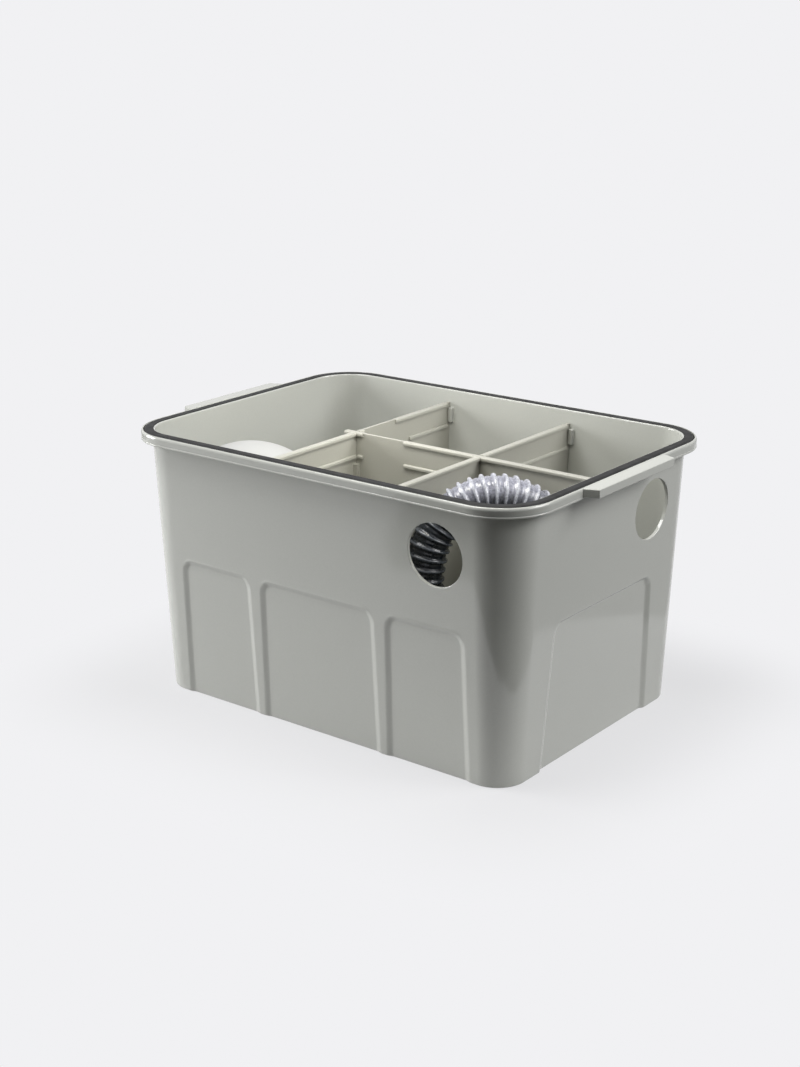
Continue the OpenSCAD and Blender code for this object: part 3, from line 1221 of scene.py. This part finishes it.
@dataclass
class DrainHose:
    """The corrugated hose, bent over in the right front chamber, with a cuff at each end. The
    ribs follow a wave from -1 to 1 along the hose. Crest and valley_rib each say where on it
    they start and where they are full, and how high they are as a share of the valley's depth."""

    route: tuple[Point, ...] = (
        (90, -98, 38), (90, -98, 66), (88.5, -100, 94), (86.8, -103, 122), (86, -104.3, 146),
        (86.8, -103.2, 160), (88, -101.4, 170), (89.4, -99.5, 178), (91.6, -96.6, 186),
        (94.2, -93.4, 192), (98.3, -88.8, 200), (106, -81, 208.5), (114.4, -72.5, 214),
        (123.5, -63.5, 216), (133.5, -53.5, 214), (142.5, -44.5, 208.5), (150.5, -36.5, 200),
        (156.5, -30.5, 189.5), (160.5, -26, 177), (161, -25, 164), (160, -24, 134),
        (158.5, -24, 102), (157, -24, 70), (157, -24, 38),
    )
    diameter: float = 34.0
    valley: float = 2.4
    pitch: float = 9.8
    crowding: float = 2.6
    crowded: float = 70.0
    sample: float = 0.8
    sides: int = 56
    crest: Point = (0.25, 0.92, 1.0)
    valley_rib: Point = (-0.8, -1.0, 0.16)
    cuff_outer: float = 20.0
    cuff_bore: float = 13.5
    cuff_foot: float = 3.3
    cuff_sides: int = 64
    grip_rings: tuple[float, ...] = (6.0, 15.0, 24.0)

    def smooth_route(self, count: int = 12) -> list[Vector]:
        """Draws the route in metres as a smooth line through its own points.

        Args:
            count: points between two of the route's own points.

        Returns:
            The line's points.
        """
        pts = [Vector(p) * MM for p in self.route]
        pts = [2 * pts[0] - pts[1], *pts, 2 * pts[-1] - pts[-2]]
        line: list[Vector] = []
        for a, b, c, d in zip(pts, pts[1:], pts[2:], pts[3:]):
            for k in range(count):
                t = k / count
                line.append(0.5 * ((2 * b) + (c - a) * t + (2 * a - 5 * b + 4 * c - d) * t * t
                                   + (3 * b - a - 3 * c + d) * t * t * t))
        line.append(pts[-2])
        return line

    def rib_tree(self) -> bpy.types.NodeTree:
        """Makes a node tree that sweeps a ribbed tube along a curve, with a thin rib in each
        valley. Its inputs are the outer radius, the valleys' depth, the ribs' pitch, and how
        they crowd together at the middle.

        Returns:
            The tree.
        """
        tree = bpy.data.node_groups.new("ribbed_hose", "GeometryNodeTree")
        face = tree.interface
        face.new_socket("Geometry", in_out="INPUT", socket_type="NodeSocketGeometry")
        for name in ("Outer radius", "Valley depth", "Pitch", "Crowding", "Crowded length"):
            face.new_socket(name, in_out="INPUT", socket_type="NodeSocketFloat")
        face.new_socket("Material", in_out="INPUT", socket_type="NodeSocketMaterial")
        face.new_socket("Geometry", in_out="OUTPUT", socket_type="NodeSocketGeometry")
        nodes, links = tree.nodes, tree.links
        given, result = nodes.new("NodeGroupInput"), nodes.new("NodeGroupOutput")
        wants, calc = given.outputs, calculator(tree)

        resample = nodes.new("GeometryNodeResampleCurve")
        resample.mode = "LENGTH"
        resample.inputs["Length"].default_value = self.sample * MM
        links.new(wants["Geometry"], resample.inputs["Curve"])
        place = nodes.new("GeometryNodeSplineParameter").outputs["Length"]
        whole = nodes.new("GeometryNodeSplineLength").outputs["Length"]
        from_middle = calc("SUBTRACT", place, calc("MULTIPLY", whole, 0.5))
        even = calc("DIVIDE", from_middle, wants["Pitch"])
        near_middle = calc("TANH", calc("DIVIDE", from_middle, wants["Crowded length"]))
        crowd = calc("MULTIPLY", near_middle, wants["Crowding"])
        wave = calc("COSINE", calc("MULTIPLY", calc("ADD", even, crowd), 2 * math.pi))

        def hump(low: float, high: float, height: float) -> bpy.types.NodeSocket:
            """Adds a rounded rise over a stretch of the wave.

            Args:
                low: the wave's value where it starts.
                high: the wave's value where it is full.
                height: its height as a share of the valleys' depth.

            Returns:
                The output that gives it.
            """
            node = nodes.new("ShaderNodeMapRange")
            node.interpolation_type = "SMOOTHERSTEP"
            for name, value in (("From Min", low), ("From Max", high), ("To Max", height)):
                node.inputs[name].default_value = value
            links.new(wave, node.inputs["Value"])
            return node.outputs["Result"]

        shape = calc("ADD", hump(*self.crest), hump(*self.valley_rib))
        sink = calc("MULTIPLY", calc("SUBTRACT", 1.0, shape), wants["Valley depth"])
        radius = calc("SUBTRACT", wants["Outer radius"], sink)
        # The ribs' shape is kept as an attribute, with which the hose's material paints a highlight on
        # the crests.
        keep = nodes.new("GeometryNodeStoreNamedAttribute")
        keep.data_type, keep.domain = "FLOAT", "POINT"
        keep.inputs["Name"].default_value = HOSE_SMOKE.crest
        links.new(resample.outputs[0], keep.inputs["Geometry"])
        links.new(shape, keep.inputs["Value"])
        circle = nodes.new("GeometryNodeCurvePrimitiveCircle")
        circle.inputs["Resolution"].default_value = self.sides
        circle.inputs["Radius"].default_value = 1.0
        sweep = nodes.new("GeometryNodeCurveToMesh")
        links.new(keep.outputs[0], sweep.inputs["Curve"])
        links.new(circle.outputs["Curve"], sweep.inputs["Profile Curve"])
        links.new(radius, sweep.inputs["Scale"])
        sweep.inputs["Fill Caps"].default_value = True
        realize = nodes.new("GeometryNodeRealizeInstances")
        paint = nodes.new("GeometryNodeSetMaterial")
        links.new(sweep.outputs[0], realize.inputs[0])
        links.new(realize.outputs[0], paint.inputs["Geometry"])
        links.new(wants["Material"], paint.inputs["Material"])
        links.new(paint.outputs[0], result.inputs[0])
        return tree

    def build_hose(self) -> bpy.types.Object:
        """Returns:
            The finished piece.
        """
        line = self.smooth_route()
        curve = bpy.data.curves.new("hose_line", "CURVE")
        curve.dimensions = "3D"
        spline = curve.splines.new("POLY")
        spline.points.add(len(line) - 1)
        for point, spot in zip(spline.points, line):
            point.co = (*spot, 1.0)
        guide = bpy.data.objects.new("hose_line", curve)
        bpy.context.scene.collection.objects.link(guide)
        finish = HOSE_SMOKE.material()
        tool = guide.modifiers.new("ribs", "NODES")
        tool.node_group = self.rib_tree()
        wanted = {
            "Outer radius": self.diameter / 2 * MM, "Valley depth": self.valley * MM,
            "Pitch": self.pitch * MM, "Crowding": self.crowding,
            "Crowded length": self.crowded * MM, "Material": finish,
        }
        for item in tool.node_group.interface.items_tree:
            if item.in_out == "INPUT" and item.name in wanted:
                tool[item.identifier] = wanted[item.name]
        mesh = evaluated(guide)
        hose = stand("corrugated_hose", mesh)
        guide.modifiers.clear()
        bpy.data.objects.remove(guide)
        bpy.data.curves.remove(curve)
        mesh.shade_smooth()
        dress(hose, finish, Slot.HOSE, "drain_hose")
        return hose

    def build_cuff(self, name: str, node: str, place: Point) -> bpy.types.Object:
        """Makes a cuff, a rubber collar with rounded lips and three grip rings.

        Args:
            name: the piece's name.
            node: the CAD node it stands for.
            place: the middle of its top.

        Returns:
            The finished piece.
        """
        x, y, high = place
        low, out, bore = self.cuff_foot, self.cuff_outer, self.cuff_bore
        profile = [
            (bore, low + 0.8), (bore + 0.25, low + 0.2), (bore + 0.8, low),
            (out - 1.2, low), (out - 0.35, low + 0.35), (out, low + 1.2),
        ]
        for z in (low + rise for rise in self.grip_rings):
            profile += [(out, z), (out - 0.9, z + 0.9), (out - 0.9, z + 3.4), (out, z + 4.3)]
        profile += [
            (out, high - 1.2), (out - 0.35, high - 0.35), (out - 1.2, high),
            (bore + 0.8, high), (bore + 0.25, high - 0.2), (bore, high - 0.8),
        ]
        draft = Draft()
        rings = [draft.circle(x, y, z, radius, self.cuff_sides) for radius, z in profile]
        draft.loft(rings, closed=True)
        cuff = stand(name, draft.mesh(name))
        shade(cuff, 40.0)
        dress(cuff, CUFF_BLACK.material(), Slot.CUFF, node)
        return cuff

    def build(self) -> list[bpy.types.Object]:
        """Makes the hose and its cuffs.

        Returns:
            The finished pieces.
        """
        cuffs = [
            self.build_cuff("front_cuff", "hose_cuff_front", self.route[0]),
            self.build_cuff("back_cuff", "hose_cuff_back", self.route[-1]),
        ]
        return [self.build_hose(), *cuffs]


@dataclass
class Filter:
    """The domed white filter in the left chamber, open underneath. Its height is to the top of
    its crown, a part of a sphere, and heights are taken from its foot."""

    foot: float = 3.3
    height: float = 216.5
    radius: float = 48.0
    crown: float = 75.0
    wall: float = 2.5
    sides: int = 96
    outer_points: int = 24
    inner_points: int = 10

    def profile(self) -> list[Pair]:
        """Draws the section from the crown down the outside and up the inside.

        Returns:
            Its points as radius and height.
        """
        centre = self.height - self.crown
        rim_z = centre + math.sqrt(self.crown**2 - self.radius**2)
        outer, inner, hollow = self.radius, self.radius - self.wall, self.crown - self.wall
        points = [(0.0, self.height)]
        last = math.asin((outer - 1.2) / self.crown)
        for k in range(1, self.outer_points + 1):
            turn = last * k / self.outer_points
            points.append((self.crown * math.sin(turn), centre + self.crown * math.cos(turn)))
        points += [
            (outer - 0.5, rim_z - 0.2), (outer - 0.1, rim_z - 0.9), (outer, rim_z - 1.8),
            *((outer, z) for z in (150.0, 100.0, 50.0, 4.0, 1.0)),
            (outer - 0.4, 0.2), (outer - 0.9, 0.0),
            (inner + 0.4, 0.0), (inner, 0.6), (inner, 100.0), (inner, rim_z - self.wall),
        ]
        for k in range(self.inner_points, 0, -1):
            turn = math.asin(inner / hollow) * k / (self.inner_points + 1)
            points.append((hollow * math.sin(turn), centre + hollow * math.cos(turn)))
        points.append((0.0, self.height - self.wall))
        return points

    def build(self) -> bpy.types.Object:
        """Makes the filter where the CAD has it.

        Returns:
            The finished piece.
        """
        low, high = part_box("filter")
        x, y = (low[0] + high[0]) / 2 / MM, (low[1] + high[1]) / 2 / MM
        draft = Draft()
        rings = []
        for radius, z in self.profile():
            count = self.sides if radius else 1
            rings.append(draft.circle(x, y, z + self.foot, radius, count))
        draft.loft(rings)
        dome = stand("domed_filter", draft.mesh("domed_filter"))
        shade(dome, 50.0)
        dress(dome, FILTER_WHITE.material(), Slot.FILTER, "filter")
        return dome


# The studio


@dataclass(frozen=True)
class Softbox:
    """An oblong area lamp: the direction it stands in, as an angle from +X and one above the
    floor, its distance and size in metres, its power and colour, whether gloss shows it, and how
    far beside the middle of the object it faces."""

    name: str
    azimuth: float
    elevation: float
    distance: float
    size: Pair
    power: float
    colour: Point = (1.0, 1.0, 1.0)
    glossy: bool = True
    aside: Point = (0.0, 0.0, 0.0)

    def build(self, middle: Vector) -> None:
        """Adds the lamp to the scene.

        Args:
            middle: the middle of the object.
        """
        turn, rise = math.radians(self.azimuth), math.radians(self.elevation)
        level = math.cos(rise)
        away = Vector((level * math.cos(turn), level * math.sin(turn), math.sin(rise)))
        lamp = bpy.data.lights.new(self.name, "AREA")
        lamp.shape = "RECTANGLE"
        lamp.size, lamp.size_y = self.size
        lamp.energy = self.power
        lamp.color = self.colour
        thing = bpy.data.objects.new(self.name, lamp)
        thing.location = middle + Vector(self.aside) + away * self.distance
        thing.rotation_euler = (-away).to_track_quat("-Z", "Y").to_euler()
        thing.visible_camera = False
        thing.visible_glossy = self.glossy
        bpy.context.scene.collection.objects.link(thing)


@dataclass
class Studio:
    """The pale paper on the floor, the soft lights, the plain surround and the camera. Lengths
    are in metres, apart from the eye's place, the lens and the sensor."""

    backdrop: Point = (0.879, 0.879, 0.896)
    ambient: float = 0.02
    beyond: float = 0.65
    middle: Point = (0.0, 0.0, 0.12)

    # The paper. It glows by one share near the object and wholly from the fade's distance on.
    paper_outline: tuple[Pair, ...] = (
        (-0.9, 0.9), (-0.9, -0.9), (-0.36, -0.9), (-0.27, -0.6), (-0.21, -0.48), (-0.161, -0.434),
        (-0.1, -0.45), (0.03, -0.46), (0.14, -0.42), (0.24, -0.34), (0.32, -0.22), (0.36, -0.05),
        (0.341, 0.143), (0.331, 0.184), (0.317, 0.209), (0.301, 0.236), (0.285, 0.26),
        (0.267, 0.268), (0.22, 0.32), (0.2, 0.9),
    )
    paper: Point = (0.55, 0.55, 0.55)
    paper_drop: float = 0.0002
    paper_near: Point = (0.18, 0.14, 0.0)
    paper_glow: float = 0.72
    paper_fade: float = 0.165

    # The camera.
    eye: Point = (888.25, -1168.49, 620.41)
    azimuth: float = 37.785
    elevation: float = 18.02
    roll: float = -0.155
    lens: float = 80.236
    sensor: float = 36.0
    clip: Pair = (0.05, 60.0)

    softboxes: tuple[Softbox, ...] = (
        Softbox("softbox_left", 205.0, 12.0, 1.8, (0.8, 0.9), 32.5),
        Softbox("softbox_left_high", 225.0, 62.0, 1.9, (0.9, 0.9), 21.5),
        Softbox("softbox_right", 30.0, 35.0, 1.8, (0.8, 0.9), 15.7),
        Softbox("softbox_right_low", 10.0, 30.0, 1.8, (0.8, 0.9), 10.2),
        Softbox("softbox_above", -48.0, 70.0, 0.42, (0.16, 0.1), 0.62, (1.0, 0.985, 0.9)),
        Softbox(
            "softbox_inside", -45.0, 35.0, 0.27, (0.12, 0.1), 0.14, (1.0, 0.985, 0.93),
            glossy=False, aside=(-0.16, 0.11, 0.05),
        ),
    )

    def world(self) -> None:
        """Sets the surround: the backdrop's colour to the camera, and above the floor to gloss
        and clear matter too; a faint even light to the rest. Below the floor it is dark, and in
        gloss brighter towards +Y."""
        world = bpy.data.worlds.new("surround")
        bpy.context.scene.world = world
        world.use_nodes = True
        tree = world.node_tree
        tree.nodes.clear()
        out = tree.nodes.new("ShaderNodeOutputWorld")
        seen, felt = tree.nodes.new("ShaderNodeBackground"), tree.nodes.new("ShaderNodeBackground")
        seen.inputs["Color"].default_value = (*self.backdrop, 1.0)
        felt.inputs["Color"].default_value = (1.0, 1.0, 1.0, 1.0)
        calc = calculator(tree)
        place, split = tree.nodes.new("ShaderNodeTexCoord"), tree.nodes.new("ShaderNodeSeparateXYZ")
        tree.links.new(place.outputs["Generated"], split.inputs[0])
        above = calc("GREATER_THAN", split.outputs[2], 0.0)
        tree.links.new(calc("MULTIPLY", above, self.ambient), felt.inputs["Strength"])
        path, mix = tree.nodes.new("ShaderNodeLightPath"), tree.nodes.new("ShaderNodeMixShader")
        gloss = calc("MAXIMUM", path.outputs["Is Glossy Ray"], path.outputs["Is Transmission Ray"])
        lit = calc("MAXIMUM", above, calc("MULTIPLY", split.outputs[1], self.beyond))
        shown = calc("MAXIMUM", path.outputs["Is Camera Ray"], calc("MULTIPLY", gloss, lit))
        for source, target in zip((shown, felt.outputs[0], seen.outputs[0]), mix.inputs):
            tree.links.new(source, target)
        tree.links.new(mix.outputs[0], out.inputs[0])

    def floor(self) -> None:
        """Adds the paper, whose edges show as faint lines in the tub's gloss. It keeps the
        object's shadow near it, and passes into the backdrop's colour farther off, to the camera
        and in reflections."""
        mesh = bpy.data.meshes.new("floor")
        outline = self.paper_outline
        mesh.from_pydata([(x, y, 0.0) for x, y in outline], [], [list(range(len(outline)))])
        ground = stand("floor", mesh)
        ground.location.z = -self.paper_drop
        graph = Graph.new("floor_paper")
        tree = graph.material.node_tree
        tree.nodes.remove(graph.shader)
        place = graph.add("ShaderNodeTexCoord")
        near = graph.add("ShaderNodeVectorMath", operation="ABSOLUTE")
        away = graph.add("ShaderNodeVectorMath", operation="SUBTRACT")
        away.inputs[1].default_value = self.paper_near
        outside = graph.add("ShaderNodeVectorMath", operation="MAXIMUM")
        outside.inputs[1].default_value = (0.0, 0.0, 0.0)
        far = graph.add("ShaderNodeVectorMath", operation="LENGTH")
        glow_share = graph.ramp(far, "Value", (0.0, self.paper_fade), (self.paper_glow, 1.0))
        matte = graph.add("ShaderNodeBsdfDiffuse", in_Color=(*self.paper, 1.0))
        glow = graph.add("ShaderNodeEmission", in_Color=(*self.backdrop, 1.0))
        path = graph.add("ShaderNodeLightPath")
        gloss, direct = (graph.add("ShaderNodeMath", operation="MAXIMUM") for _ in range(2))
        share = graph.add("ShaderNodeMath", operation="MULTIPLY")
        mix = graph.add("ShaderNodeMixShader")
        out = next(n for n in tree.nodes if n.type == "OUTPUT_MATERIAL")
        for source, name, target, into in (
            (place, "Object", near, 0), (near, 0, away, 0),
            (away, 0, outside, 0), (outside, 0, far, 0),
            (path, "Is Glossy Ray", gloss, 0), (path, "Is Transmission Ray", gloss, 1),
            (path, "Is Camera Ray", direct, 0), (gloss, 0, direct, 1),
            (direct, 0, share, 0), (glow_share, 0, share, 1), (share, 0, mix, 0),
            (matte, 0, mix, 1), (glow, 0, mix, 2), (mix, 0, out, "Surface"),
        ):
            graph.join(source, name, target, into)
        mesh.materials.append(graph.material)

    def camera(self) -> None:
        """Adds the camera at the photograph's angle."""
        az, el, roll = (math.radians(a) for a in (self.azimuth, self.elevation, self.roll))
        back = Vector((math.sin(az) * math.cos(el), -math.cos(az) * math.cos(el), math.sin(el)))
        right = Vector((math.cos(az), math.sin(az), 0.0))
        up = back.cross(right)
        level, tilt = math.cos(roll), math.sin(roll)
        right, up = level * right + tilt * up, level * up - tilt * right
        data = bpy.data.cameras.new("camera")
        data.sensor_fit, data.sensor_width, data.lens = "HORIZONTAL", self.sensor, self.lens
        data.clip_start, data.clip_end = self.clip
        eye = bpy.data.objects.new("camera", data)
        bpy.context.scene.collection.objects.link(eye)
        turn = Matrix((right, up, back)).transposed()
        eye.matrix_world = Matrix.Translation(Vector(self.eye) * MM) @ turn.to_4x4()
        bpy.context.scene.camera = eye

    def build(self) -> None:
        """Builds the whole studio."""
        view = bpy.context.scene.view_settings
        view.view_transform = "Standard"
        self.camera()
        self.world()
        self.floor()
        for softbox in self.softboxes:
            softbox.build(Vector(self.middle))


def main() -> None:
    logging.basicConfig(level=logging.INFO, format="%(message)s")
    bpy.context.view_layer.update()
    Studio().build()
    tub = Tub()
    pieces = [
        tub.build(), RimSeal(tub).build(), *Dividers().build(), *DrainHose().build(), Filter().build(),
    ]
    LOG.info("%d pieces", len(pieces))


if __name__ == "__main__":
    main()
